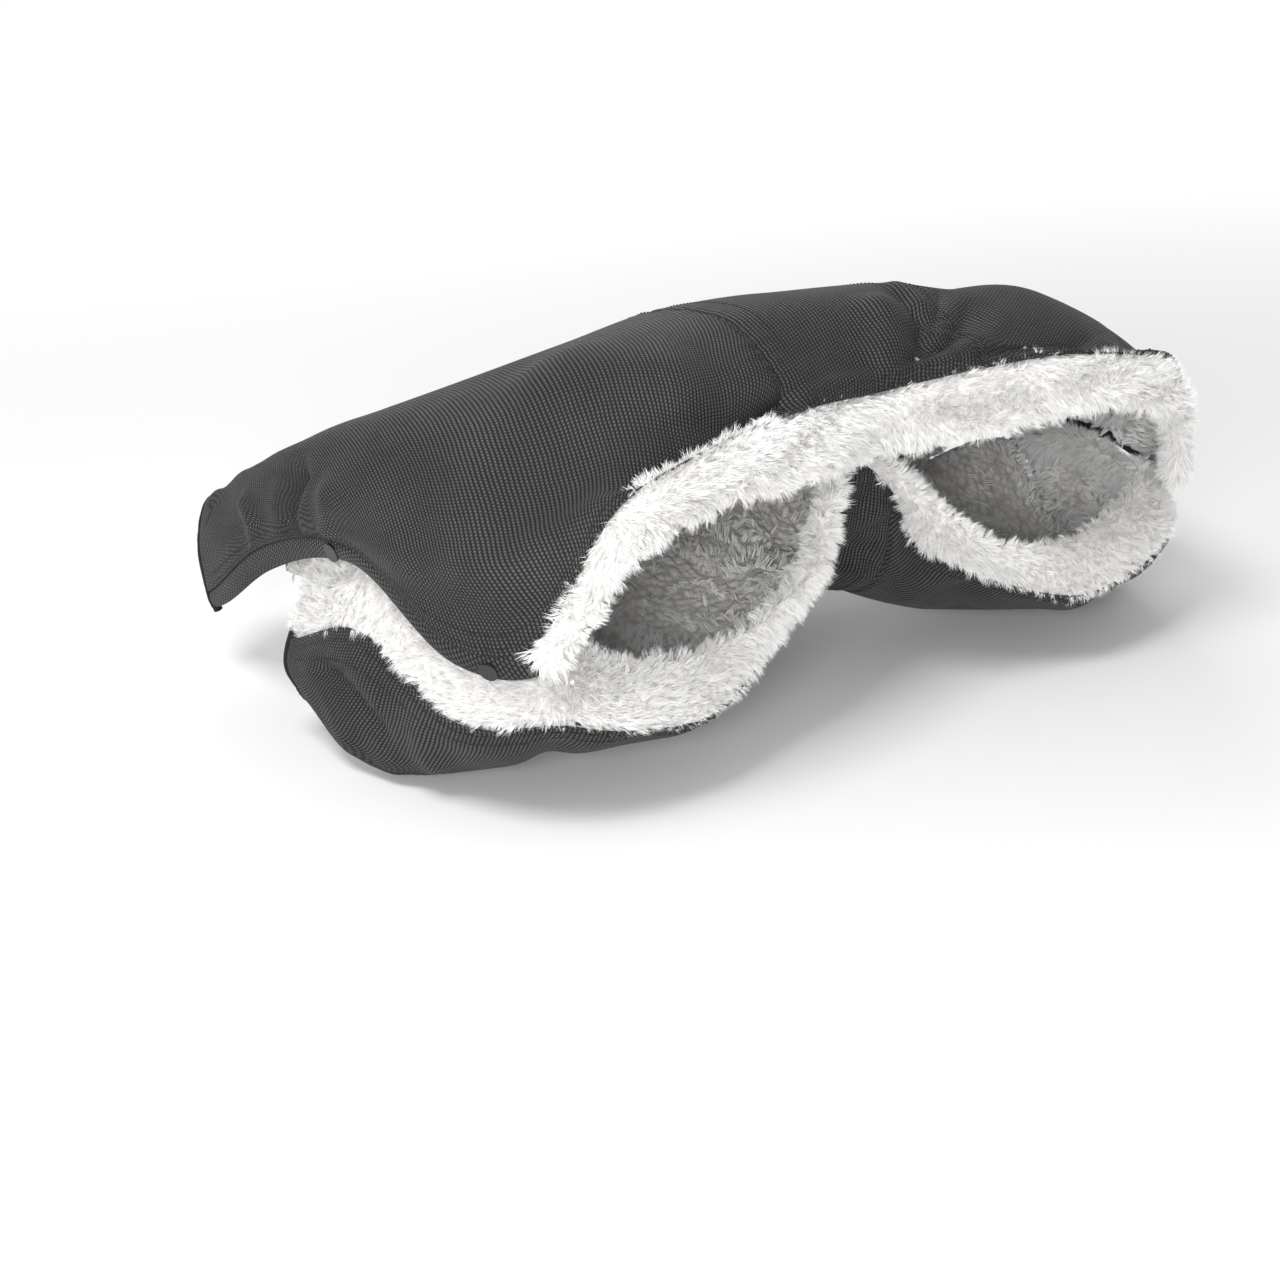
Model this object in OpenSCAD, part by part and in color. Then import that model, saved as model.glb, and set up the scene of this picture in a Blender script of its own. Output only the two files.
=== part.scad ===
// Hand muff for a pushchair handlebar: a quilted, plush-lined wrap that folds
// round the bar and closes with press studs, leaving two mouths for the hands.
// X runs along the bar, Y towards the pushchair, Z up. The muff stands on the
// floor, and the origin is under the middle of its outline.

/* [Layers] */
// Thickness of the outer fabric
shell_t = 1.0; // [0.8:0.1:1.4]
// Thickness of the wadding where it is not sewn down
wadding_t = 4; // [3:0.5:5]
// Thickness of the plush lining, pressed flat
lining_t = 3; // [2:0.5:3.5]
// Air gap that separates two layers
layer_gap = 0.3; // [0.2:0.05:0.4]
// Share of its thickness that a layer keeps at a seam
seam_pinch = 0.3; // [0.2:0.05:0.6]

/* [Plush lips] */
// Thickness of the rolled plush band on the upper lip
upper_band_t = 11; // [8:1:12]
// Thickness of the rolled plush band on the lower lip
lower_band_t = 9; // [7:1:10]
// Thickness of the turned black hem past the mouths
hem_t = 6; // [5:0.5:7]
// Station along the lip where the plush band gives way to the black hem
hem_station = 4.1; // [3.9:0.1:4.3]

/* [Edges] */
// Diameter of the bias binding round the end openings
binding_d = 5; // [4:0.5:6]
// Diameter of the piping in the front fold
piping_d = 3; // [2:0.5:3.5]
// How far the right shoulder sags below the left, as a slope
sag = 0.08; // [0:0.01:0.1]

/* [Press studs] */
// Diameter of the caps and post flanges
cap_d = 10; // [9:0.5:12]
// Diameter of the stud's ball
ball_d = 5; // [4:0.5:6]

/* [Hidden] */

// The two panels are drawn about a point above the middle of the bar, then
// moved so that the floor is at zero.
floor_drop = 188.3;
middle_y = 62.5;

// Each guide is a line along the muff, drawn from the middle out to the right
// end, one point a station. The left half is its mirror image.
upper_lip = [[0, -54, -42], [60, -76, -36], [120, -90, -30], [180, -92, -46],
    [214, -76, -98], [242, -34, -108], [260, 28, -90], [268, 112, -112], [268, 190, -150]];
upper_hem = [[0, -50, -10], [60, -64, -4], [120, -80, -2], [184, -86, -20],
    [220, -70, -84], [246, -30, -96], [263, 32, -80], [271, 114, -102], [271, 192, -140]];
rear_shoulder = [[0, -36, 16], [60, -48, 17], [120, -60, 10], [186, -64, -16],
    [228, -44, -48], [250, -4, -60], [266, 46, -62], [274, 118, -82], [271, 198, -118]];
ridge = [[0, 0, 33], [60, 0, 33], [120, 2, 24], [178, 12, 2],
    [216, 36, -16], [238, 66, -28], [250, 98, -42], [258, 145, -64], [256, 210, -104]];
front_shoulder = [[0, 78, 12], [60, 82, 8], [120, 88, -8], [172, 100, -24],
    [200, 116, -38], [216, 134, -52], [226, 152, -66], [234, 178, -90], [238, 212, -118]];
front_wall = [[0, 112, -50], [60, 113, -52], [120, 114, -58], [168, 118, -68],
    [188, 125, -76], [200, 136, -86], [206, 150, -94], [211, 176, -106], [213, 207, -124]];
upper_edge = [[0, 105, -122], [60, 105, -122], [120, 105, -122], [165, 106, -122],
    [186, 108, -125], [201, 113, -127], [209, 126, -130], [214, 156, -136], [215, 198, -142]];

lower_lip = [[0, -26, -34], [22, -50, -58], [58, -72, -96], [120, -66, -113],
    [172, -64, -104], [204, -54, -86], [228, -20, -92], [241, 32, -80], [250, 92, -102]];
lower_hem = [[0, -38, -50], [20, -44, -68], [44, -50, -108], [118, -82, -140],
    [174, -84, -136], [212, -74, -126], [244, -34, -134], [263, 30, -122], [271, 92, -138]];
pouch_rear = [[0, -32, -100], [24, -36, -116], [66, -42, -144], [126, -60, -154],
    [174, -62, -156], [214, -52, -160], [243, -16, -172], [264, 30, -172], [270, 84, -156]];
pouch_floor = [[0, 6, -134], [28, 0, -142], [78, -6, -160], [130, -10, -164],
    [174, -10, -170], [208, -10, -178], [236, 2, -184], [256, 32, -184], [264, 82, -164]];
pouch_front = [[0, 60, -138], [28, 58, -144], [76, 54, -160], [130, 56, -164],
    [170, 54, -170], [202, 52, -176], [226, 50, -180], [242, 56, -174], [252, 82, -154]];
lower_edge = [[0, 98, -130], [30, 98, -130], [66, 98, -130], [120, 98, -130],
    [160, 98, -129], [190, 98, -120], [212, 97, -113], [230, 95, -112], [243, 93, -114]];

upper_guides = [upper_lip, upper_hem, rear_shoulder, ridge, front_shoulder, front_wall, upper_edge];
lower_guides = [lower_lip, lower_hem, pouch_rear, pouch_floor, pouch_front, lower_edge];

last_station = len(upper_lip) - 1;
// Station of the two seams that divide each panel, and half the slit they leave.
seam = 1.05;
slit = 0.003;
side_stations = [seam + slit, 1.2, 1.6, 2, 2.5, 3, 3.5, 4, 4.5, 5, 5.5, 6, 6.5, 7, 7.5, last_station];
left_stations = [for (i = [len(side_stations) - 1 : -1 : 0]) -side_stations[i]];
centre_stations = [-seam + slit, -0.5, 0, 0.5, seam - slit];
all_stations = concat(left_stations, centre_stations, side_stations);
// Rows run from the hem to the front fold. The inner layers stop short of the
// hem, to leave room for the rolled lip.
upper_rest = [2, 2.5, 3, 3.5, 4, 4.5, 5, 5.5, 5.8, 6];
lower_rest = [2, 2.5, 3, 3.5, 4, 4.5, 4.8, 5];
upper_inner_rows = concat([1.36, 1.65], upper_rest);
lower_inner_rows = concat([1.4, 1.7], lower_rest);
upper_rows = concat([1.04, 1.2], upper_inner_rows);
lower_rows = concat([1.04, 1.2], lower_inner_rows);

// Turning line of the lower panel, between the two front edges.
fold_y = 101.5;
fold_z = -126.5;

fabric = "#26262a";
plush = "#f2f0ec";
fibre = "#fafafa";
brass = "#b58d48";
steel = "#9aa0a6";

// ---- curves and surfaces ----

function spline(a, b, c, d, f) =
    0.5 * (2 * b + (c - a) * f + (2 * a - 5 * b + 4 * c - d) * f * f
    + (3 * b - a - 3 * c + d) * f * f * f);

function mirror_x(p) = [-p.x, p.y, p.z];

// Point of a guide at a whole station, on either side of the middle, with one
// more beyond each end so that the curve leaves the end straight.
function knot(g, i) =
    let (n = len(g) - 1)
    abs(i) > n ? 2 * knot(g, sign(i) * n) - knot(g, sign(i) * (n - 1))
    : i < 0 ? mirror_x(g[-i]) : g[i];

function along(g, s) =
    let (i = floor(s), f = s - i)
    spline(knot(g, i - 1), knot(g, i), knot(g, i + 1), knot(g, i + 2), f);

function across(col, v) =
    let (n = len(col) - 1, i = min(floor(v), n - 1), f = v - i, b = col[i], c = col[i + 1],
        a = i > 0 ? col[i - 1] : 2 * b - c,
        d = i + 2 <= n ? col[i + 2] : 2 * c - b)
    spline(a, b, c, d, f);

function smooth(t) = let (k = min(max(t, 0), 1)) k * k * (3 - 2 * k);

// The shoulders sag to the right. The lips and the floor of the pouches do not.
function sagged(p) =
    p - [0, 0, sag * p.x * smooth((p.y + 70) / 110) * smooth((p.z + 150) / 70)];

function placed(p) = p + [0, -middle_y, floor_drop];

function point_on(guides, s, v) = placed(sagged(across([for (g = guides) along(g, s)], v)));

function unit(p) = p / max(norm(p), 0.000001);

// Outward normal; side is 1 on the upper wrap and -1 on the lower panel.
function normal_on(guides, s, v, side) =
    let (e = 0.04, n = len(guides) - 1,
        ds = point_on(guides, s + e, v) - point_on(guides, s - e, v),
        dv = point_on(guides, s, min(v + e, n)) - point_on(guides, s, max(v - e, 0)))
    side * unit(cross(ds, dv));

// Layers are thin at the seams and full between them.
function loft(s, v, n) =
    let (near_seam = smooth(abs(abs(s) - seam) / 0.5),
        near_end = smooth((last_station - abs(s)) / 0.8),
        near_edge = smooth((n - v) / 0.7),
        near_hem = smooth((v - 0.95) / 0.8))
    seam_pinch + (1 - seam_pinch) * near_seam * near_end * near_edge * near_hem;

function wadding_depth(k) = shell_t + layer_gap + wadding_t * k;
function lining_depth(k) = wadding_depth(k) + layer_gap + lining_t * (0.4 + 0.6 * k);

// Depth under the outer face: 0 shell, 1 wadding, 2 lining; at the layer's top or foot.
function depth(layer, top, k) =
    layer == 0 ? (top ? 0 : shell_t)
    : layer == 1 ? (top ? shell_t + layer_gap : wadding_depth(k))
    : (top ? wadding_depth(k) + layer_gap : lining_depth(k));

function sheet_grid(guides, side, stations, rows, layer, top) =
    [for (s = stations) [for (v = rows)
        point_on(guides, s, v)
        - normal_on(guides, s, v, side) * depth(layer, top, loft(s, v, len(guides) - 1))]];

// ---- solids ----

// Closed solid between two grids of points of the same shape.
module slab(outer, inner, side) {
    n = len(outer);
    m = len(outer[0]);
    half = n * m;
    points = [for (g = [outer, inner]) for (row = g) for (p = row) p];
    top = [for (i = [0 : n - 2]) for (j = [0 : m - 2])
        let (a = i * m + j, b = a + m) each [[a, a + 1, b + 1], [a, b + 1, b]]];
    foot = [for (f = top) [f[2] + half, f[1] + half, f[0] + half]];
    rim = concat([for (j = [0 : m - 2]) j], [for (i = [0 : n - 2]) i * m + m - 1],
        [for (j = [m - 1 : -1 : 1]) (n - 1) * m + j], [for (i = [n - 1 : -1 : 1]) i * m]);
    k = len(rim);
    wall = [for (i = [0 : k - 1]) let (a = rim[i], b = rim[(i + 1) % k])
        each [[b, a, a + half], [b, a + half, b + half]]];
    faces = concat(top, foot, wall);
    turned = [for (f = faces) [f[2], f[1], f[0]]];
    polyhedron(points, side > 0 ? faces : turned, convexity = 8);
}

module sheet(guides, side, stations, rows, layer) {
    slab(sheet_grid(guides, side, stations, rows, layer, true),
        sheet_grid(guides, side, stations, rows, layer, false), side);
}

// Tube through rings of points, closed at both ends.
module tube(rings) {
    n = len(rings);
    m = len(rings[0]);
    points = [for (r = rings) for (p = r) p];
    skin = [for (i = [0 : n - 2]) for (j = [0 : m - 1])
        let (a = i * m + j, b = i * m + (j + 1) % m)
        each [[a, b, b + m], [a, b + m, a + m]]];
    ends = [[for (j = [m - 1 : -1 : 0]) j], [for (j = [0 : m - 1]) (n - 1) * m + j]];
    polyhedron(points, concat(skin, ends), convexity = 8);
}

// Rolled edge between row 0 and row 1 of a panel, as thick as given.
band_sides = 10;
// How far the rolled lip stands proud of the panel, and its gap to the hem.
lip_proud = 1.2;
hem_gap = 1.5;
module rolled_edge(guides, side, stations, thick) {
    rings = [for (s = stations)
        let (lip = point_on(guides, s, 0), hem = point_on(guides, s, 1),
            out = normal_on(guides, s, 0.5, side),
            w = (hem - lip) / 2 - unit(hem - lip) * hem_gap,
            c = (lip + hem) / 2 - out * (thick / 2 - lip_proud))
        [for (j = [0 : band_sides - 1]) let (a = side * j * 360 / band_sides)
            c + w * cos(a) + out * (thick / 2) * sin(a)]];
    tube(rings);
}

// Round edging swept along a line of points; up sets which way the ring starts.
module edging(path, d, sides = 8) {
    n = len(path);
    rings = [for (i = [0 : n - 1])
        let (t = unit(path[min(i + 1, n - 1)] - path[max(i - 1, 0)]),
            u = unit(cross(t, abs(t.z) < 0.8 ? [0, 0, 1] : [0, 1, 0])),
            w = cross(t, u))
        [for (j = [0 : sides - 1]) let (a = j * 360 / sides)
            path[i] + (u * cos(a) + w * sin(a)) * d / 2]];
    tube(rings);
}

// Path just past a panel's end, half way through its layers.
end_gap = 0.3;
function end_path(guides, side, dir, rows) =
    [for (v = rows)
        let (s = dir * last_station, p = point_on(guides, s, v),
            out = unit(p - point_on(guides, s - dir * 0.1, v)))
        p - normal_on(guides, s, v, side) * 2 + out * (binding_d / 2 + end_gap)];

module stands_on(p, out) {
    tilt = acos(out.z);
    turn = atan2(out.y, out.x);
    translate(p) rotate([0, tilt, turn]) children();
}

// ---- upper wrap ----

module shell_upper_left() { color(fabric) sheet(upper_guides, 1, left_stations, upper_rows, 0); }
module shell_upper_centre() { color(fabric) sheet(upper_guides, 1, centre_stations, upper_rows, 0); }
module shell_upper_right() { color(fabric) sheet(upper_guides, 1, side_stations, upper_rows, 0); }
module wadding_upper_left() { color(fibre) sheet(upper_guides, 1, left_stations, upper_inner_rows, 1); }
module wadding_upper_centre() { color(fibre) sheet(upper_guides, 1, centre_stations, upper_inner_rows, 1); }
module wadding_upper_right() { color(fibre) sheet(upper_guides, 1, side_stations, upper_inner_rows, 1); }
module lining_upper() { color(plush) sheet(upper_guides, 1, all_stations, upper_inner_rows, 2); }

module lip_band_upper() {
    n = 32;
    stations = [for (i = [0 : n]) hem_station * (2 * i / n - 1)];
    color(plush) rolled_edge(upper_guides, 1, stations, upper_band_t);
}

module lip_hem(dir) {
    n = 14;
    start = hem_station + 0.02;
    steps = [for (i = [0 : n]) start + (last_station - start) * i / n];
    stations = dir > 0 ? steps : [for (i = [n : -1 : 0]) -steps[i]];
    color(fabric) rolled_edge(upper_guides, 1, stations, hem_t);
}
module lip_hem_left() { lip_hem(-1); }
module lip_hem_right() { lip_hem(1); }

module end_binding(dir) {
    rows = [for (i = [0 : 20]) i * 6 / 20];
    color(fabric) edging(end_path(upper_guides, 1, dir, rows), binding_d);
}
module end_binding_left() { end_binding(-1); }
module end_binding_right() { end_binding(1); }

module front_piping() {
    reach = 150;
    color(fabric) translate(placed([-reach, fold_y, fold_z]))
        rotate([0, 90, 0]) cylinder(d = piping_d, h = 2 * reach, $fn = 48);
}

// ---- lower panel ----

module shell_lower_left() { color(fabric) sheet(lower_guides, -1, left_stations, lower_rows, 0); }
module shell_lower_centre() { color(fabric) sheet(lower_guides, -1, centre_stations, lower_rows, 0); }
module shell_lower_right() { color(fabric) sheet(lower_guides, -1, side_stations, lower_rows, 0); }
module wadding_lower_left() { color(fibre) sheet(lower_guides, -1, left_stations, lower_inner_rows, 1); }
module wadding_lower_centre() { color(fibre) sheet(lower_guides, -1, centre_stations, lower_inner_rows, 1); }
module wadding_lower_right() { color(fibre) sheet(lower_guides, -1, side_stations, lower_inner_rows, 1); }
module lining_lower() { color(plush) sheet(lower_guides, -1, all_stations, lower_inner_rows, 2); }

module lip_band_lower() {
    n = 44;
    stations = [for (i = [0 : n]) last_station * (2 * i / n - 1)];
    color(plush) rolled_edge(lower_guides, -1, stations, lower_band_t);
}

module side_binding(dir) {
    rows = [for (i = [0 : 14]) 1 + i * 4 / 14];
    color(fabric) edging(end_path(lower_guides, -1, dir, rows), binding_d);
}
module side_binding_left() { side_binding(-1); }
module side_binding_right() { side_binding(1); }

// ---- press studs: one in the middle, one past each mouth, one near each end ----

socket_stations = [-6.2, -4.6, 0, 4.6, 6.2];
stud_stations = [-6.2, -4.7, 0, 4.7, 6.2];
socket_t = 2.4;
stud_t = 2.6;

function edge_thick(s) = abs(s) < hem_station ? upper_band_t : hem_t;

// Puts its children on the inner face of the upper lip, facing in.
module at_sockets() {
    for (s = socket_stations) {
        out = normal_on(upper_guides, s, 0.5, 1);
        p = (point_on(upper_guides, s, 0) + point_on(upper_guides, s, 1)) / 2;
        stands_on(p - out * (edge_thick(s) - lip_proud + 0.1), -out) children();
    }
}

// Puts its children on the outer face of the lower lip, facing out.
module at_studs() {
    for (s = stud_stations) {
        out = normal_on(lower_guides, s, 0.5, -1);
        p = (point_on(lower_guides, s, 0) + point_on(lower_guides, s, 1)) / 2;
        stands_on(p + out * (lip_proud + 0.2), out) children();
    }
}

module stud_sockets() {
    color(brass) at_sockets() difference() {
        cylinder(d = cap_d - 1, h = socket_t, $fn = 48);
        translate([0, 0, 0.5]) cylinder(d = ball_d + 1.6, h = socket_t, $fn = 48);
    }
}

module socket_springs() {
    color(steel) at_sockets() translate([0, 0, 1.2])
        rotate_extrude($fn = 48) translate([ball_d / 2 + 0.35, 0]) circle(d = 0.6, $fn = 16);
}

module socket_caps() {
    color(brass) for (s = socket_stations) {
        out = normal_on(upper_guides, s, 0.5, 1);
        p = (point_on(upper_guides, s, 0) + point_on(upper_guides, s, 1)) / 2;
        thick = edge_thick(s);
        stands_on(p + out * (lip_proud - 0.1), out) {
            translate([0, 0, -0.6]) cylinder(d = cap_d, h = 1.2, $fn = 48);
            translate([0, 0, -thick + 0.3]) cylinder(d = 3, h = thick, $fn = 32);
        }
    }
}

module studs() {
    color(brass) at_studs() {
        cylinder(d = cap_d - 2, h = 0.8, $fn = 48);
        cylinder(d = ball_d - 1, h = stud_t - 0.4, $fn = 48);
        translate([0, 0, 1.2]) cylinder(d = ball_d, h = stud_t - 1.2, $fn = 48);
    }
}

module stud_posts() {
    color(brass) for (s = stud_stations) {
        out = normal_on(lower_guides, s, 0.5, -1);
        p = (point_on(lower_guides, s, 0) + point_on(lower_guides, s, 1)) / 2;
        stands_on(p - out * (lower_band_t - lip_proud), out) {
            translate([0, 0, -0.6]) cylinder(d = cap_d, h = 1.2, $fn = 48);
            cylinder(d = 3, h = lower_band_t - 0.1, $fn = 32);
        }
    }
}

shell_upper_left();
shell_upper_centre();
shell_upper_right();
wadding_upper_left();
wadding_upper_centre();
wadding_upper_right();
lining_upper();
lip_band_upper();
lip_hem_left();
lip_hem_right();
end_binding_left();
end_binding_right();
front_piping();
socket_caps();
stud_sockets();
socket_springs();
shell_lower_left();
shell_lower_centre();
shell_lower_right();
wadding_lower_left();
wadding_lower_centre();
wadding_lower_right();
lining_lower();
lip_band_lower();
side_binding_left();
side_binding_right();
studs();
stud_posts();
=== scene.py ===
import math

import bpy
import numpy as np
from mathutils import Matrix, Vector


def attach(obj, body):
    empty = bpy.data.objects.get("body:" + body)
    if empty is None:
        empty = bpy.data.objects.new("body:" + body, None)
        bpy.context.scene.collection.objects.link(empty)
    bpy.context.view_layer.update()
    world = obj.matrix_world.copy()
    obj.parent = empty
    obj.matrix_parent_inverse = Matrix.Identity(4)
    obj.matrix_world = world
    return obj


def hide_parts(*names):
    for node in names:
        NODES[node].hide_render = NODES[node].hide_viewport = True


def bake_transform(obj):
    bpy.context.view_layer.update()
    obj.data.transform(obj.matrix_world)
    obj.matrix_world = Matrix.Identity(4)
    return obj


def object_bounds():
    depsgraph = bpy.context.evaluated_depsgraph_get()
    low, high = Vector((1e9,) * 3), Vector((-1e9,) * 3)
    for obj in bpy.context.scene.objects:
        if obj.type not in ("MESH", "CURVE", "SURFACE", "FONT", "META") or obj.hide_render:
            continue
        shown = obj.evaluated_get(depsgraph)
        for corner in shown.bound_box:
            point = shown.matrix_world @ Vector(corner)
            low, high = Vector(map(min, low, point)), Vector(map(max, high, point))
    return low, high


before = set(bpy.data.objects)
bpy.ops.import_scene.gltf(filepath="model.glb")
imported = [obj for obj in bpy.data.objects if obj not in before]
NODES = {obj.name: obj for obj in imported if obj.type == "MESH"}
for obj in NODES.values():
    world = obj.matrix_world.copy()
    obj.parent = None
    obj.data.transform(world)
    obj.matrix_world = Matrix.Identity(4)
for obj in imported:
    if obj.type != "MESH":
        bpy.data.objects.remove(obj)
CAD_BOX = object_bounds()
MM = 0.001
Z = np.array([0.0, 0.0, 1.0])

# ---- the two panels: the same guide lines as part.scad, in mm, right half ----

UPPER_GUIDES = [
    [[0, -54, -42], [60, -76, -36], [120, -90, -30], [180, -92, -46], [214, -76, -98],
     [242, -34, -108], [260, 28, -90], [268, 112, -112], [268, 190, -150]],
    [[0, -50, -10], [60, -64, -4], [120, -80, -2], [184, -86, -20], [220, -70, -84],
     [246, -30, -96], [263, 32, -80], [271, 114, -102], [271, 192, -140]],
    [[0, -36, 16], [60, -48, 17], [120, -60, 10], [186, -64, -16], [228, -44, -48],
     [250, -4, -60], [266, 46, -62], [274, 118, -82], [271, 198, -118]],
    [[0, 0, 33], [60, 0, 33], [120, 2, 24], [178, 12, 2], [216, 36, -16],
     [238, 66, -28], [250, 98, -42], [258, 145, -64], [256, 210, -104]],
    [[0, 78, 12], [60, 82, 8], [120, 88, -8], [172, 100, -24], [200, 116, -38],
     [214, 134, -52], [222, 152, -66], [228, 178, -90], [230, 212, -116]],
    [[0, 112, -50], [60, 113, -52], [120, 114, -58], [168, 118, -68], [188, 125, -76],
     [200, 136, -86], [206, 150, -94], [211, 176, -106], [213, 207, -124]],
    [[0, 105, -122], [60, 105, -122], [120, 105, -122], [165, 106, -122], [186, 108, -125],
     [201, 113, -127], [209, 126, -130], [214, 156, -136], [215, 198, -142]],
]
LOWER_GUIDES = [
    [[0, -26, -34], [22, -50, -58], [58, -72, -96], [120, -66, -113], [172, -64, -104],
     [204, -54, -86], [228, -20, -92], [241, 32, -80], [250, 92, -102]],
    [[0, -38, -50], [20, -44, -68], [44, -50, -108], [118, -82, -140], [174, -84, -136],
     [212, -74, -126], [244, -34, -134], [263, 30, -122], [271, 92, -138]],
    [[0, -32, -100], [24, -36, -116], [66, -42, -144], [126, -60, -154], [174, -62, -156],
     [214, -52, -160], [243, -16, -172], [264, 30, -172], [270, 84, -156]],
    [[0, 6, -134], [28, 0, -142], [78, -6, -160], [130, -10, -164], [174, -10, -170],
     [208, -10, -178], [236, 2, -184], [256, 32, -184], [264, 82, -164]],
    [[0, 60, -138], [28, 58, -144], [76, 54, -160], [130, 56, -164], [170, 54, -170],
     [202, 52, -176], [226, 50, -180], [242, 56, -174], [252, 82, -154]],
    [[0, 98, -130], [30, 98, -130], [66, 98, -130], [120, 98, -130], [160, 98, -129],
     [190, 98, -120], [212, 97, -113], [230, 95, -112], [243, 93, -114]],
]
MIDDLE_Y = 62.5
FLOOR_DROP = 188.3
SAG = 0.08
END = 8
SEAM = 1.05
HEM_STATION = 4.1
FOLD_LINE = (150, 101.5, -126.5)
SEAM_STEP = 60  # mm a station, near the seams
ROW_STEP = 45  # mm a row, near the hem
LIP_STEP = 40  # mm a station or a row, near the lip


def smooth(t):
    t = np.clip(t, 0, 1)
    return t * t * (3 - 2 * t)


def unit(v):
    return v / np.maximum(np.linalg.norm(v, axis=-1, keepdims=True), 1e-12)


def placed(p):
    drop = SAG * p[..., 0] * smooth((p[..., 1] + 70) / 110) * smooth((p[..., 2] + 150) / 70)
    out = np.array(p, float)
    out[..., 2] += FLOOR_DROP - drop
    out[..., 1] -= MIDDLE_Y
    return out * MM


def spline(a, b, c, d, t):
    return 0.5 * (2 * b + (c - a) * t + (2 * a - 5 * b + 4 * c - d) * t * t
                  + (3 * b - a - 3 * c + d) * t * t * t)


def cell(x, last):
    i = np.clip(np.floor(x).astype(int), 0, last - 1)
    return i, (x - i)[..., None]


def extended(a, axis):
    a = np.moveaxis(a, axis, 0)
    a = np.concatenate([[2 * a[0] - a[1]], a, [2 * a[-1] - a[-2]]])
    return np.moveaxis(a, 0, axis)


class Panel:
    """One padded panel: station s runs along the bar, row v from the lip to the front fold."""

    def __init__(self, name, guides, side, body):
        half = np.array(guides, float)
        knots = np.concatenate([half[:, :0:-1] * (-1, 1, 1), half], 1)
        self.knots = extended(extended(knots, 1), 0)
        self.name = name
        self.last = len(guides) - 1
        self.side = side
        self.body = body
        self.folds = []
        self.settled = None

    def base(self, s, v):
        s, v = np.broadcast_arrays(np.asarray(s, float), np.asarray(v, float))
        i, t = cell(s + END, 2 * END)
        j, w = cell(v, self.last)
        rows = [spline(*[self.knots[j + r, i + c] for c in range(4)], t) for r in range(4)]
        return placed(spline(*rows, w))

    def normal(self, s, v):
        e = 0.02
        along = self.base(s + e, v) - self.base(s - e, v)
        across = self.base(s, v + e) - self.base(s, v - e)
        return self.side * unit(np.cross(along, across))

    def skin(self, s, v, depth=0.0):
        """Points of the outer face at (s, v), moved inwards by depth, folds and settling included."""
        s, v = np.broadcast_arrays(np.asarray(s, float), np.asarray(v, float))
        p = self.base(s, v)
        n = self.normal(s, v)
        height = self.relief(s, v, p)
        out = p + n * (height - depth)[..., None]
        if self.settled is not None:
            out = out + self.shift(s, v)
        return out

    def relief(self, s, v, p):
        total = np.zeros(s.shape)
        for points, width, height, sharp in self.folds:
            total += fold_height(self, p, points, width, height, sharp)
        calm = smooth((v - 1.0) / 0.22) * smooth((END - abs(s)) / 0.5)
        total = total * calm * smooth((self.last - v) / 0.8)
        from_seam = abs(abs(s) - SEAM) * SEAM_STEP
        edge = np.exp(-((from_seam / 2.4) ** 2))
        pucker = np.exp(-((from_seam / 9) ** 2))
        total -= 1.1 * MM * edge * smooth((v - 1.0) / 0.2)
        total += 0.5 * MM * pucker * ripple(v * 50, 9.0, 3) * smooth((v - 1.0) / 0.3)
        near_hem = smooth((v - 0.98) / 0.1) * np.exp(-((np.maximum(v - 1.12, 0) * ROW_STEP / 9) ** 2))
        total += 0.8 * MM * near_hem * ripple(p[..., 0] / MM + 3 * v, 10.0, 5)
        return total

    def shift(self, s, v):
        grid = self.settled
        i, t = cell((s + END) / (2 * END) * (grid.shape[0] - 1), grid.shape[0] - 1)
        j, w = cell(v / self.last * (grid.shape[1] - 1), grid.shape[1] - 1)
        near = grid[i, j] * (1 - w) + grid[i, j + 1] * w
        far = grid[i + 1, j] * (1 - w) + grid[i + 1, j + 1] * w
        return near * (1 - t) + far * t


def ripple(x, pitch, seed):
    """A wandering wave along a line, about pitch mm apart, between -1 and 1."""
    k = 2 * math.pi / pitch
    slow = 0.8 * np.sin(x * k * 0.21 + seed) + 0.6 * np.sin(x * k * 0.37 + 2.1 * seed)
    return np.sin(x * k + 2.2 * slow) * (0.62 + 0.38 * np.sin(x * k * 0.13 + 1.3 * seed))


def fold_height(panel, p, points, width, height, sharp):
    """Height of one fold at every point p: a line through points (s, v), in mm wide and high."""
    steps = 9
    line = np.array(points, float)
    at = np.linspace(0, len(line) - 1, steps)
    s = np.interp(at, np.arange(len(line)), line[:, 0])
    v = np.interp(at, np.arange(len(line)), line[:, 1])
    knots = panel.base(s, v)
    best = np.full(p.shape[:-1], 1e9)
    progress = np.zeros(p.shape[:-1])
    for n in range(steps - 1):
        a, ab = knots[n], knots[n + 1] - knots[n]
        t = np.clip(((p - a) @ ab) / max(ab @ ab, 1e-12), 0, 1)
        d = np.linalg.norm(p - a - t[..., None] * ab, axis=-1)
        closer = d < best
        best = np.where(closer, d, best)
        progress = np.where(closer, (n + t) / (steps - 1), progress)
    taper = smooth(progress / 0.3) * smooth((1 - progress) / 0.3)
    return height * MM * taper * np.exp(-((best / (width * MM)) ** sharp))


upper = Panel("upper", UPPER_GUIDES, 1, "upper_wrap")
lower = Panel("lower", LOWER_GUIDES, -1, "lower_panel")

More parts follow.
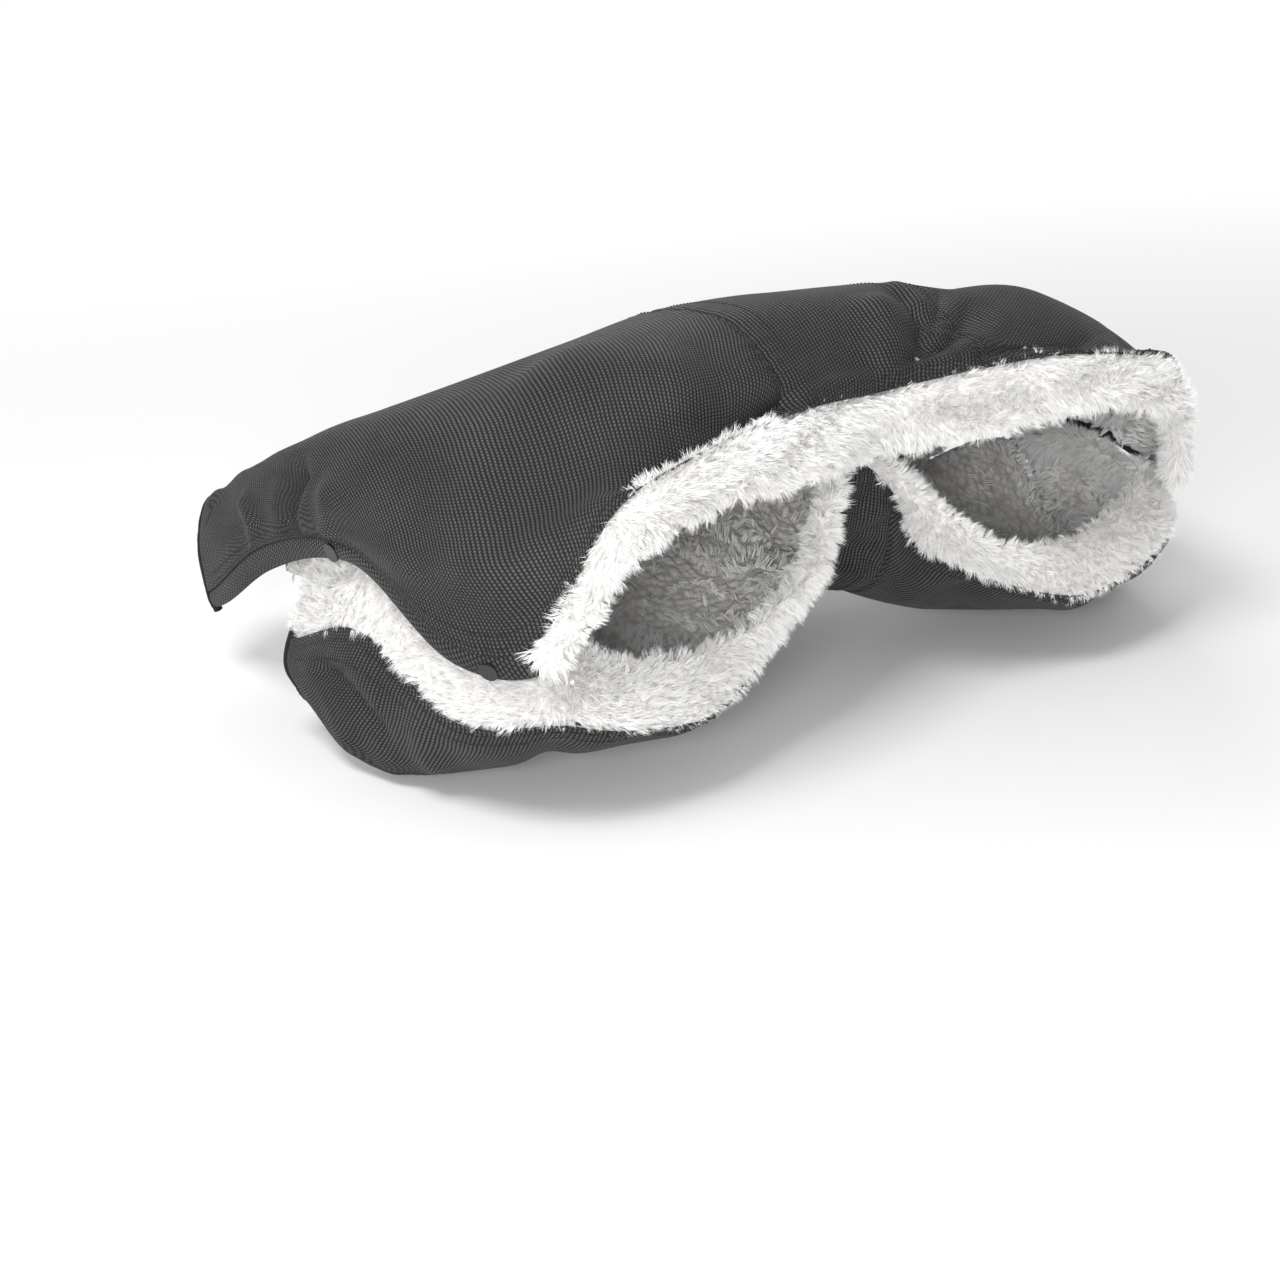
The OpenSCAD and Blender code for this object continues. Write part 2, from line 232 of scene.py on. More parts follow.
# Each fold: points (station, row), width mm, height mm (below zero is a valley), sharpness.
ROUND = 2.0
SHARP = 1.1
upper.folds = [
    ([(1.4, 2.9), (3.0, 2.7), (4.6, 2.5)], 46, 10, ROUND),
    ([(-1.2, 3.0), (0.4, 3.0), (1.8, 3.0)], 50, 4, ROUND),
    ([(-3.1, 3.2), (-2.3, 2.6), (-1.6, 2.2)], 32, 11, ROUND),
    ([(-0.8, 1.2), (-1.7, 1.46), (-3.0, 1.74)], 14, -24, ROUND),
    ([(-3.4, 1.5), (-2.7, 1.95), (-1.9, 2.0)], 11, 5, ROUND),
    ([(-1.15, 1.75), (-1.8, 1.95), (-2.7, 2.3)], 8, -7, SHARP),
    ([(0.45, 2.9), (0.42, 2.3), (0.0, 1.2)], 12, 5.5, ROUND),
    ([(0.85, 3.2), (0.8, 2.4), (0.5, 1.7)], 7, -10, SHARP),
    ([(1.4, 3.0), (1.1, 2.6), (0.75, 2.2)], 6, -6, SHARP),
    ([(0.95, 3.2), (0.9, 2.8), (0.85, 2.5)], 7, 3, ROUND),
    ([(1.5, 2.7), (0.9, 2.0), (0.1, 1.4)], 8, -10, SHARP),
    ([(1.9, 2.6), (1.3, 1.95), (0.6, 1.5)], 8, 2.5, ROUND),
    ([(2.6, 2.2), (1.65, 1.6), (0.7, 1.12)], 8, -7.5, SHARP),
    ([(3.4, 1.15), (2.6, 1.6), (2.2, 2.2)], 10, 3, ROUND),
    ([(3.2, 2.6), (2.6, 1.9), (1.9, 1.1)], 7, -3, SHARP),
    ([(-6.3, 2.9), (-6.6, 2.0), (-6.65, 1.05)], 8, -19, ROUND),
    ([(-5.9, 2.6), (-6.0, 1.9), (-6.2, 1.1)], 9, 6, ROUND),
    ([(-7.3, 2.4), (-7.15, 1.8), (-7.1, 1.1)], 8, 5, ROUND),
    ([(-7.4, 3.2), (-6.7, 2.6), (-5.6, 2.4)], 9, -4, SHARP),
    ([(-4.2, 1.05), (-4.1, 2.0), (-3.6, 3.0)], 14, 4, ROUND),
    ([(-4.9, 1.3), (-4.8, 2.2), (-4.3, 3.2)], 12, -4, ROUND),
    ([(4.2, 1.05), (4.1, 2.0), (3.5, 2.8)], 12, 4, ROUND),
    ([(4.9, 1.3), (4.8, 2.2), (4.2, 3.0)], 11, -4, ROUND),
    ([(6.3, 2.7), (6.6, 2.0), (6.6, 1.2)], 8, -6, ROUND),
    ([(5.9, 2.9), (6.1, 2.0), (6.3, 1.2)], 9, 3.5, ROUND),
    ([(-3.3, 5.2), (-3.6, 4.4), (-4.6, 3.9)], 9, -4, SHARP),
    ([(3.2, 5.2), (3.6, 4.4), (4.7, 3.9)], 9, -4, SHARP),
    ([(-0.4, 5.3), (-0.2, 4.5), (-0.6, 3.8)], 11, -2.5, ROUND),
    ([(2.0, 5.2), (1.8, 4.6), (2.2, 4.0)], 10, -3, ROUND),
    ([(-2.1, 5.2), (-1.9, 4.6), (-2.3, 4.0)], 10, -3, ROUND),
]
lower.folds = [
    ([(-7.4, 2.9), (-5.2, 2.8), (-2.2, 2.7)], 44, -10, ROUND),
    ([(0.25, 1.1), (0.4, 1.83), (0.7, 2.4)], 9, -5, ROUND),
    ([(0.95, 1.05), (0.6, 1.6), (0.3, 2.1)], 7, 4, ROUND),
    ([(-0.05, 2.5), (0.35, 1.85), (1.2, 1.3)], 6, -4, SHARP),
    ([(1.7, 2.6), (1.1, 2.0), (0.5, 1.75)], 8, -4, SHARP),
    ([(-0.8, 1.3), (-0.5, 1.9), (-0.6, 2.6)], 8, -3.5, ROUND),
    ([(-7.7, 1.1), (-7.1, 1.35), (-6.6, 1.7)], 7, -6, ROUND),
    ([(-6.4, 1.1), (-6.3, 1.7), (-5.9, 2.4)], 10, 4, ROUND),
    ([(-7.3, 1.8), (-6.9, 2.4), (-6.1, 3.0)], 9, -4, SHARP),
    ([(-4.9, 1.1), (-4.8, 1.9), (-4.4, 2.8)], 10, -4, ROUND),
    ([(-3.0, 1.2), (-3.1, 2.0), (-2.7, 3.0)], 12, -3, ROUND),
    ([(2.2, 1.3), (2.15, 1.9), (2.4, 2.8)], 11, -3, ROUND),
    ([(3.3, 1.1), (3.2, 1.6), (3.4, 2.4)], 10, 3, ROUND),
    ([(4.7, 1.1), (4.8, 1.9), (4.4, 2.8)], 10, -4, ROUND),
    ([(6.6, 1.2), (6.7, 1.8), (6.2, 2.6)], 9, -5, ROUND),
]

# ---- meshes ----


def make_mesh(name, verts, quads, tris=None, uv=None, body=None, slot=None, materials=()):
    tris = np.zeros((0, 3), int) if tris is None else tris
    quads = np.asarray(quads, int).reshape(-1, 4)
    mesh = bpy.data.meshes.new(name)
    mesh.vertices.add(len(verts))
    mesh.vertices.foreach_set("co", np.asarray(verts, np.float32).ravel())
    loops = np.concatenate([quads.ravel(), tris.ravel()]).astype(np.int32)
    mesh.loops.add(len(loops))
    mesh.loops.foreach_set("vertex_index", loops)
    starts = np.concatenate([np.arange(len(quads)) * 4, len(quads) * 4 + np.arange(len(tris)) * 3])
    mesh.polygons.add(len(starts))
    mesh.polygons.foreach_set("loop_start", starts.astype(np.int32))
    if uv is not None:
        layer = mesh.uv_layers.new(name="flat")
        layer.data.foreach_set("uv", np.asarray(uv, np.float32)[loops].ravel())
    mesh.update(calc_edges=True)
    mesh.polygons.foreach_set("use_smooth", np.ones(len(starts), bool))
    obj = bpy.data.objects.new(name, mesh)
    bpy.context.scene.collection.objects.link(obj)
    for m in materials:
        mesh.materials.append(m)
    if body:
        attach(obj, body)
    return obj


def grid_quads(n, m, closed=False):
    i = np.arange(n - 1)[:, None]
    j = np.arange(m if closed else m - 1)[None, :]
    a = i * m + j
    b = i * m + (j + 1) % m
    return np.stack([a, a + m, b + m, b], -1).reshape(-1, 4)


def rim_walls(n, m):
    rim = np.concatenate([np.arange(m), np.arange(1, n) * m + m - 1,
                          (n - 1) * m + np.arange(m - 2, -1, -1), np.arange(n - 2, 0, -1) * m])
    nxt = np.roll(rim, -1)
    half = n * m
    return np.stack([rim, nxt, nxt + half, rim + half], -1)


def slab(name, outer, inner, uv, side, **more):
    """A closed sheet between two grids of points."""
    n, m = outer.shape[:2]
    verts = np.concatenate([outer.reshape(-1, 3), inner.reshape(-1, 3)])
    top = grid_quads(n, m)
    quads = np.concatenate([top, top[:, ::-1] + n * m, rim_walls(n, m)])
    if side < 0:
        quads = quads[:, ::-1]
    flat = np.concatenate([uv.reshape(-1, 2)] * 2)
    return make_mesh(name, verts, quads, uv=flat, **more)


def tube(name, rings, uv_scale=1.0, flip=False, **more):
    """A closed tube through rings of points, one ring a station."""
    n, m = rings.shape[:2]
    verts = np.concatenate([rings.reshape(-1, 3), rings[:1].mean(1), rings[-1:].mean(1)])
    quads = grid_quads(n, m, closed=True)
    j = np.arange(m)
    k = (j + 1) % m
    near = np.stack([np.full(m, n * m), j, k], -1)
    far = np.stack([np.full(m, n * m + 1), (n - 1) * m + k, (n - 1) * m + j], -1)
    tris = np.concatenate([near, far])
    if flip:
        quads, tris = quads[:, ::-1], tris[:, ::-1]
    along = np.concatenate([[0], np.cumsum(np.linalg.norm(np.diff(rings.mean(1), axis=0), axis=-1))])
    round_ = np.concatenate([[0], np.cumsum(np.linalg.norm(np.diff(rings[0], axis=0), axis=-1))])
    uv = np.stack(np.meshgrid(along, round_, indexing="ij"), -1).reshape(-1, 2)
    uv = np.concatenate([uv, [[along[0], 0]], [[along[-1], 0]]]) * uv_scale
    return make_mesh(name, verts, quads, tris, uv=uv, **more)


def even(panel, across, start, stop, step, fine_start=False, fine_stop=False):
    """Values of s (or v, with across) at even steps of length on the panel, closer at a seam."""
    x = np.linspace(start, stop, 500)
    p = panel.base(3.0, x) if across else panel.base(x, 2.6)
    length = np.concatenate([[0], np.cumsum(np.linalg.norm(np.diff(p, axis=0), axis=-1))])
    count = max(int(length[-1] / step), 2)
    want = np.linspace(0, length[-1], count + 1)
    close = np.array([0.4, 0.9, 1.6]) * MM
    if fine_start:
        want = np.concatenate([want[:1], close, want[1:][want[1:] > 2.2 * MM]])
    if fine_stop:
        end = length[-1]
        want = np.concatenate([want[:-1][want[:-1] < end - 2.2 * MM], end - close[::-1], [end]])
    return np.interp(want, length, x)


def lengths(p):
    """Flat coordinates of a grid of points, in metres: u along the first axis, v the second."""
    u = np.cumsum(np.linalg.norm(np.diff(p, axis=0), axis=-1), 0)
    v = np.cumsum(np.linalg.norm(np.diff(p, axis=1), axis=-1), 1)
    u = np.concatenate([np.zeros((1, p.shape[1])), u])
    v = np.concatenate([np.zeros((p.shape[0], 1)), v], 1)
    n, m = p.shape[0] // 2, p.shape[1] // 2
    return np.stack([u - u[n:n + 1], v - v[:, m:m + 1]], -1)


def lip_shift(panel, s):
    """How many rows nearer the lip the black cloth starts: the lower band narrows past the mouths."""
    return 0.2 * smooth((abs(s) - 5.5) / 1.6) if panel is lower else 0.0 * s


def row_at(panel, s, v):
    return v - lip_shift(panel, s) * np.clip((panel.last - v) / (panel.last - 1), 0, 1)


def lattice(panel, s, v):
    ss, vv = np.meshgrid(s, v, indexing="ij")
    return ss, row_at(panel, ss, vv)


# ---- settling: the padded cloth buckles as it is stuffed and sewn ----


SHRINK = -0.014
MOST_MOVE = 6
FLOOR_GAP = 1.5
STUD_STATIONS = (-6.2, -4.65, 0, 4.65, 6.2)


def hold_weights(panel, ss, vv):
    """How firmly each point is held: wholly at the edges, more at the seams and the studs."""
    held = np.maximum(1 - smooth((vv - 1.02) / 0.16), 1 - smooth((panel.last - vv) / 0.3))
    held = np.maximum(held, 1 - smooth((END - abs(ss)) / 0.25))
    held = np.maximum(held, 0.35 * np.exp(-((abs(abs(ss) - SEAM) * SEAM_STEP / 3) ** 2)))
    for station in STUD_STATIONS:
        near = np.exp(-(((ss - station) * LIP_STEP / 8) ** 2 + ((vv - 0.8) * LIP_STEP / 14) ** 2))
        held = np.maximum(held, near)
    return np.clip(0.09 + held, 0, 1).ravel()


def add_cloth(obj, weights):
    group = obj.vertex_groups.new(name="held")
    for level in np.unique(np.round(weights, 2)):
        index = np.nonzero(np.round(weights, 2) == level)[0].tolist()
        group.add(index, float(level), "REPLACE")
    mod = obj.modifiers.new("Cloth", "CLOTH")
    cfg = mod.settings
    cfg.quality = 6
    cfg.mass = 0.25
    cfg.tension_stiffness = 40
    cfg.compression_stiffness = 40
    cfg.shear_stiffness = 12
    cfg.bending_stiffness = 2.2
    cfg.tension_damping = 20
    cfg.compression_damping = 20
    cfg.air_damping = 4
    cfg.vertex_group_mass = "held"
    cfg.pin_stiffness = 1.0
    cfg.shrink_min = SHRINK
    cfg.shrink_max = SHRINK
    cfg.effector_weights.gravity = 0.25
    mod.collision_settings.use_collision = False
    return mod


def simulated(obj, mod, frames):
    """The points of the cloth after the frames have run; the object is removed."""
    scene = bpy.context.scene
    mod.point_cache.frame_start = 1
    mod.point_cache.frame_end = frames
    for f in range(1, frames + 1):
        scene.frame_set(f)
    depsgraph = bpy.context.evaluated_depsgraph_get()
    done = obj.evaluated_get(depsgraph).to_mesh()
    moved = np.empty(len(done.vertices) * 3, np.float32)
    done.vertices.foreach_get("co", moved)
    scene.frame_set(1)
    mesh = obj.data
    bpy.data.objects.remove(obj)
    bpy.data.meshes.remove(mesh)
    return moved


def settle(panel, seed, frames=26):
    """Keep in panel.settled how far the simulated cloth moves, capped, smoothed, above the floor."""
    s = np.linspace(-END, END, 161)
    v = np.linspace(0, panel.last, panel.last * 12 + 1)
    ss, vv = np.meshgrid(s, v, indexing="ij")
    start = panel.skin(ss, vv)
    bump_rng = np.random.default_rng(seed)
    jitter = bump_rng.normal(0, 0.25 * MM, start.shape[:2])[..., None] * panel.normal(ss, vv)
    cloth = make_mesh("settling", (start + jitter).reshape(-1, 3), grid_quads(*ss.shape))
    mod = add_cloth(cloth, hold_weights(panel, ss, vv))
    moved = simulated(cloth, mod, frames).reshape(start.shape).astype(float)
    move = moved - start
    free = smooth((vv - 1.0) / 0.1) * smooth((END - abs(ss)) / 0.2) * smooth((panel.last - vv) / 0.25)
    size = np.linalg.norm(move, axis=-1, keepdims=True)
    move = move * np.minimum(1, MOST_MOVE * MM / np.maximum(size, 1e-9)) * free[..., None]
    move[..., 2] = np.maximum(move[..., 2], -start[..., 2] + FLOOR_GAP * MM)
    for axis in (0, 1, 0, 1):
        before, after = np.roll(move, 1, axis), np.roll(move, -1, axis)
        move = 0.5 * move + 0.25 * (before + after)
    panel.settled = move * free[..., None]


settle(upper, 3)
settle(lower, 5)

# ---- materials ----


class Nodes:
    """Short names for building a node tree."""

    def __init__(self, name):
        self.material = bpy.data.materials.new(name)
        self.material.use_nodes = True
        self.tree = self.material.node_tree
        self.shader = self.tree.nodes["Principled BSDF"]

    def add(self, kind, inputs=(), **settings):
        node = self.tree.nodes.new(kind)
        for key, value in settings.items():
            setattr(node, key, value)
        for key, value in dict(inputs).items():
            if isinstance(value, bpy.types.NodeSocket):
                self.tree.links.new(value, node.inputs[key])
            else:
                node.inputs[key].default_value = value
        return node

    def math(self, operation, a, b=0.0, c=0.0):
        return self.add("ShaderNodeMath", {0: a, 1: b, 2: c}, operation=operation).outputs[0]

    def ramp(self, value, low, high, a=0.0, b=1.0):
        node = self.add("ShaderNodeMapRange", {"Value": value, "From Min": low, "From Max": high,
                                               "To Min": a, "To Max": b},
                        interpolation_type="SMOOTHSTEP")
        return node.outputs["Result"]

    def mix(self, factor, a, b):
        node = self.add("ShaderNodeMix", data_type="RGBA")
        self.tree.links.new(factor, node.inputs["Factor"])
        for key, value in (("A", a), ("B", b)):
            socket = [x for x in node.inputs if x.name == key and x.type == "RGBA"][0]
            if isinstance(value, bpy.types.NodeSocket):
                self.tree.links.new(value, socket)
            else:
                socket.default_value = (*value, 1)
        return [x for x in node.outputs if x.type == "RGBA"][0]

    def noise(self, scale, detail=3.0, vector=None, rough=0.55):
        inputs = {"Scale": scale, "Detail": detail, "Roughness": rough}
        if vector is not None:
            inputs["Vector"] = vector
        return self.add("ShaderNodeTexNoise", inputs).outputs["Fac"]

    def uv(self):
        out = self.add("ShaderNodeUVMap", uv_map="flat").outputs[0]
        parts = self.add("ShaderNodeSeparateXYZ", {0: out})
        return out, parts.outputs[0], parts.outputs[1]

    def place(self):
        return self.add("ShaderNodeTexCoord").outputs["Object"]

    def bump(self, height, distance, strength=1.0):
        node = self.add("ShaderNodeBump", {"Height": height, "Distance": distance, "Strength": strength})
        self.tree.links.new(node.outputs[0], self.shader.inputs["Normal"])

    def set(self, name, value):
        if isinstance(value, bpy.types.NodeSocket):
            self.tree.links.new(value, self.shader.inputs[name])
        else:
            self.shader.inputs[name].default_value = value


def weave_material(name, groove_shade, light):
    """Ribbed outer cloth: round yarns side by side, with floats in alternate rows. The colour follows the
    yarn height: a painted highlight on the raised beads and painted shade in the grooves between the ribs.
    """
    n = Nodes(name)
    vector, u, v = n.uv()
    wander = n.noise(35.0, 2.0, vector)
    u = n.math("ADD", u, n.math("MULTIPLY", wander, 0.0022))
    column = n.math("DIVIDE", u, 0.0023)
    row = n.math("DIVIDE", v, 0.0019)
    half = n.math("MULTIPLY", n.math("MODULO", n.math("FLOOR", column), 2.0), 0.5)
    fu = n.math("ABSOLUTE", n.math("SUBTRACT", n.math("FRACT", column), 0.5))
    fv = n.math("ABSOLUTE", n.math("SUBTRACT", n.math("FRACT", n.math("ADD", row, half)), 0.5))
    rib = n.ramp(fu, 0.46, 0.1)
    bead = n.ramp(fv, 0.48, 0.08)
    height = n.math("MULTIPLY", rib, n.math("MULTIPLY_ADD", bead, 0.75, 0.25))
    worn = n.ramp(n.noise(16.0, 4.0, n.place()), 0.35, 0.75, 0.75, 1.15)
    fleck = n.ramp(n.noise(900.0, 2.0, n.place()), 0.4, 0.75, 0.85, 1.25)
    level = n.math("MULTIPLY", n.math("MULTIPLY", height, worn), fleck)
    # Painted light: the dark colour is painted shade in the grooves, the light colour a painted highlight on
    # the bead tops, mixed by the yarn height.
    n.set("Base Color", n.mix(level, groove_shade, light))
    n.set("Roughness", n.ramp(level, 0.0, 1.0, 0.8, 0.45))
    n.set("Sheen Weight", 0.04)
    n.set("Sheen Roughness", 0.4)
    n.set("Specular IOR Level", 0.24)
    n.bump(height, 0.00035, 0.9)
    return n.material


def tape_material(name, groove_shade, light):
    """Narrow woven tape: fine slanted twill, with a painted highlight on the raised lines and painted shade
    in the grooves.
    """
    n = Nodes(name)
    _, u, v = n.uv()
    slant = n.math("DIVIDE", n.math("ADD", u, n.math("MULTIPLY", v, 0.8)), 0.0011)
    line = n.math("ABSOLUTE", n.math("SUBTRACT", n.math("FRACT", slant), 0.5))
    height = n.ramp(line, 0.5, 0.1)
    patch = n.noise(60.0, 3.0, n.place())
    level = n.math("MULTIPLY", height, n.ramp(patch, 0.3, 0.7, 0.6, 1.0))
    # Colour by twill height: the dark colour is painted shade in the grooves, the light colour a painted
    # highlight on the raised lines.
    n.set("Base Color", n.mix(level, groove_shade, light))
    n.set("Roughness", n.ramp(patch, 0.3, 0.7, 0.6, 0.8))
    n.set("Sheen Weight", 0.04)
    n.set("Specular IOR Level", 0.2)
    n.bump(height, 0.0002, 0.8)
    return n.material


def backing_material(name, shade, light):
    """Knitted plush ground under the pile, with soft tufts, darker between the tufts as painted shade in the
    hollows.
    """
    n = Nodes(name)
    place = n.place()
    tuft = n.add("ShaderNodeTexVoronoi", {"Vector": place, "Scale": 210.0}).outputs["Distance"]
    fine = n.noise(700.0, 4.0, place, 0.7)
    height = n.math("ADD", n.ramp(tuft, 0.9, 0.1), n.math("MULTIPLY", fine, 0.8))
    # The colour follows the tuft height: the shade colour is painted shade in the hollows between tufts, the
    # light colour the plush on the tuft tops.
    n.set("Base Color", n.mix(n.ramp(height, 0.2, 1.4), shade, light))
    n.set("Roughness", n.ramp(fine, 0.3, 0.7, 0.75, 0.95))
    n.set("Sheen Weight", 0.35)
    n.bump(height, 0.0016, 0.9)
    return n.material


def wadding_material():
    """Loose fibre wadding: matted threads."""
    n = Nodes("fibre_wadding")
    place = n.place()
    mat = n.noise(160.0, 8.0, place, 0.75)
    n.set("Base Color", n.mix(mat, (0.55, 0.54, 0.5), (0.86, 0.85, 0.82)))
    n.set("Roughness", n.ramp(mat, 0.3, 0.7, 0.8, 1.0))
    n.bump(mat, 0.0015, 0.8)
    return n.material


def metal_material(name, base, worn, scale, dark_ends=False):
    """Pressed metal with fine scratches and dulled patches."""
    n = Nodes(name)
    place = n.place()
    patch = n.noise(scale, 5.0, place, 0.65)
    scratch = n.noise(scale * 9, 2.0, place, 0.4)
    colour = n.mix(n.ramp(patch, 0.35, 0.7), base, worn)
    if dark_ends:
        x = n.add("ShaderNodeSeparateXYZ", {0: place}).outputs[0]
        colour = n.mix(n.ramp(n.math("ABSOLUTE", x), 0.02, 0.06), colour, (0.014, 0.014, 0.015))
    n.set("Base Color", colour)
    n.set("Metallic", 0.0 if dark_ends else 1.0)
    n.set("Roughness", n.ramp(n.math("ADD", patch, n.math("MULTIPLY", scratch, 0.5)), 0.5, 1.1, 0.22, 0.5))
    n.bump(scratch, 0.00004, 0.6)
    return n.material


def plain_material(name, colour, rough, sheen):
    n = Nodes(name)
    n.set("Base Color", (*colour, 1))
    n.set("Roughness", rough)
    n.set("Sheen Weight", sheen)
    n.set("Specular IOR Level", 0.25)
    return n.material


# ribbed_cloth colours: the first is painted shade for the grooves, the second a painted highlight for the
# bead tops.
WEAVE = weave_material("ribbed_cloth", (0.005, 0.005, 0.0053), (0.088, 0.086, 0.087))
# black_tape colours: painted shade for the grooves, then a painted highlight for the raised twill.
TAPE = tape_material("black_tape", (0.003, 0.003, 0.0034), (0.014, 0.014, 0.015))
# plush_ground: the darker first colour is painted shade between the tufts.
BACKING = backing_material("plush_ground", (0.62, 0.6, 0.57), (0.9, 0.88, 0.86))
WADDING = wadding_material()
THREAD = plain_material("black_thread", (0.012, 0.012, 0.0125), 0.6, 0.1)
PILE = [plain_material("pile_" + n, c, 0.85, 0.3) for n, c in (
    ("bright", (0.98, 0.975, 0.965)), ("warm", (0.96, 0.95, 0.94)), ("soft", (0.92, 0.91, 0.9)))]

# ---- layers ----

SHELL_T = 1.0
SHELL_START = 1.03
WADDING_T = 4.0
GAP = 0.3
PINCH = 0.3


def loft(panel, s, v):
    near = smooth(abs(abs(s) - SEAM) / 0.5) * smooth((END - abs(s)) / 0.8)
    return PINCH + (1 - PINCH) * near * smooth((panel.last - v) / 0.7) * smooth((v - 0.95) / 0.8)


def wadding_foot(panel, s, v):
    return SHELL_T + GAP + WADDING_T * loft(panel, s, v)


SECTIONS = [("left", -END, -SEAM - 0.003, False, True),
            ("centre", -SEAM + 0.003, SEAM - 0.003, True, True),
            ("right", SEAM + 0.003, END, True, False)]


def make_shells(panel, step=2.1):
    for name, low, high, fine_low, fine_high in SECTIONS:
        s = even(panel, False, low, high, step * MM, fine_low, fine_high)
        v = even(panel, True, SHELL_START, panel.last, step * MM, True, False)
        ss, vv = lattice(panel, s, v)
        outer = panel.skin(ss, vv)
        inner = panel.skin(ss, vv, SHELL_T * MM)
        node = f"shell_{panel.name}_{name}"
        piece = slab("cloth_" + node[6:], outer, inner, lengths(outer), panel.side,
                     body=panel.body, slot="outer_fabric", materials=[WEAVE])
        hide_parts(node)


def make_waddings(panel, step=2.3):
    for name, low, high, *_ in SECTIONS:
        s = even(panel, False, low, high, step * MM)
        v = even(panel, True, 1.38, panel.last, step * MM)
        ss, vv = lattice(panel, s, v)
        top = panel.skin(ss, vv, (SHELL_T + 3 * GAP) * MM)
        foot = panel.skin(ss, vv, (wadding_foot(panel, ss, vv) - GAP) * MM)
        node = f"wadding_{panel.name}_{name}"
        piece = slab("fill_" + node[8:], top, foot, lengths(top), panel.side,
                     body=panel.body, slot="wadding", materials=[WADDING])
        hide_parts(node)


def make_lining(panel, step=3.2):
    s = even(panel, False, -END, END, step * MM)
    v = even(panel, True, 1.06, panel.last, step * MM)
    ss, vv = lattice(panel, s, v)
    depth = wadding_foot(panel, ss, vv) + GAP
    top = panel.skin(ss, vv, depth * MM)
    fluff = 0.9 * np.sin(ss * 41 + 3 * np.sin(vv * 9)) * np.sin(vv * 37 + 3 * np.sin(ss * 7))
    foot = panel.skin(ss, vv, (depth + 1.6 + 0.5 * fluff) * MM)
    node = "lining_" + panel.name
    piece = slab("plush_" + panel.name, top, foot, lengths(top), panel.side,
                 body=panel.body, slot="plush", materials=[BACKING])
    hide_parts(node)
    return foot, ss, vv


LIP_PROUD = 1.2
HEM_GAP = 1.5


def rolled_rings(panel, stations, thick, sides=30, grow=1.0, wave=0.0, hem_row=1.0):
    s = stations
    lip = panel.base(s, 0.0)
    hem = panel.base(s, row_at(panel, s, hem_row))
    out = panel.normal(s, 0.5)
    w = (hem - lip) / 2 - unit(hem - lip) * HEM_GAP * MM
    c = (lip + hem) / 2 - out * (thick / 2 - LIP_PROUD) * MM
    a = panel.side * np.arange(sides) * 2 * math.pi / sides
    lift = 1 + wave * ripple(s * 45, 26.0, 4)[:, None] * np.sin(a * 2 + s[:, None])
    ring = c[:, None] + grow * (w[:, None] * np.cos(a)[None, :, None] * lift[..., None]
                                + out[:, None] * (thick / 2 * MM) * np.sin(a)[None, :, None])
    return ring


def ring_normals(rings):
    along = np.gradient(rings, axis=0)
    around = np.roll(rings, -1, 1) - np.roll(rings, 1, 1)
    n = unit(np.cross(around, along))
    centre = rings.mean(1, keepdims=True)
    sign = np.sign(((rings - centre) * n).sum(-1).mean())
    return n * sign


# ---- pile: tapered strands in tufts ----


def patches(points, density):
    """How likely each cell of a grid of points is to carry a tuft, and how many tufts in all."""
    a = points[1:, :-1] - points[:-1, :-1]
    b = points[:-1, 1:] - points[:-1, :-1]
    area = np.linalg.norm(np.cross(a, b), axis=-1)
    share = area * density[:-1, :-1]
    return share / share.sum(), int(share.sum() * 1e4), a, b


def sample(grid, x, y):
    i = np.clip(np.floor(x).astype(int), 0, grid.shape[0] - 2)
    j = np.clip(np.floor(y).astype(int), 0, grid.shape[1] - 2)
    t = (x - i)[:, None]
    w = (y - j)[:, None]
    near = grid[i, j] * (1 - w) + grid[i, j + 1] * w
    far = grid[i + 1, j] * (1 - w) + grid[i + 1, j + 1] * w
    return near * (1 - t) + far * t


PIECE_STRANDS = 60000


def pile_pieces(name, verts, tone, body):
    """Meshes of five-point strands, PIECE_STRANDS of them at most in each."""
    base = np.arange(len(verts))[:, None] * 5
    made = []
    for part, start in enumerate(range(0, len(verts), PIECE_STRANDS)):
        take = slice(start, min(start + PIECE_STRANDS, len(verts)))
        n = take.stop - take.start
        quads = base[:n] + np.array([[0, 1, 2, 3]])
        tris = base[:n] + np.array([[3, 2, 4]])
        piece = make_mesh(f"{name}_{part + 1}", verts[take].reshape(-1, 3), quads, tris,
                          body=body, slot="plush", materials=PILE)
        piece.data.polygons.foreach_set("material_index", np.tile(tone[take], 2).astype(np.int32))
        made.append(piece)
    return made


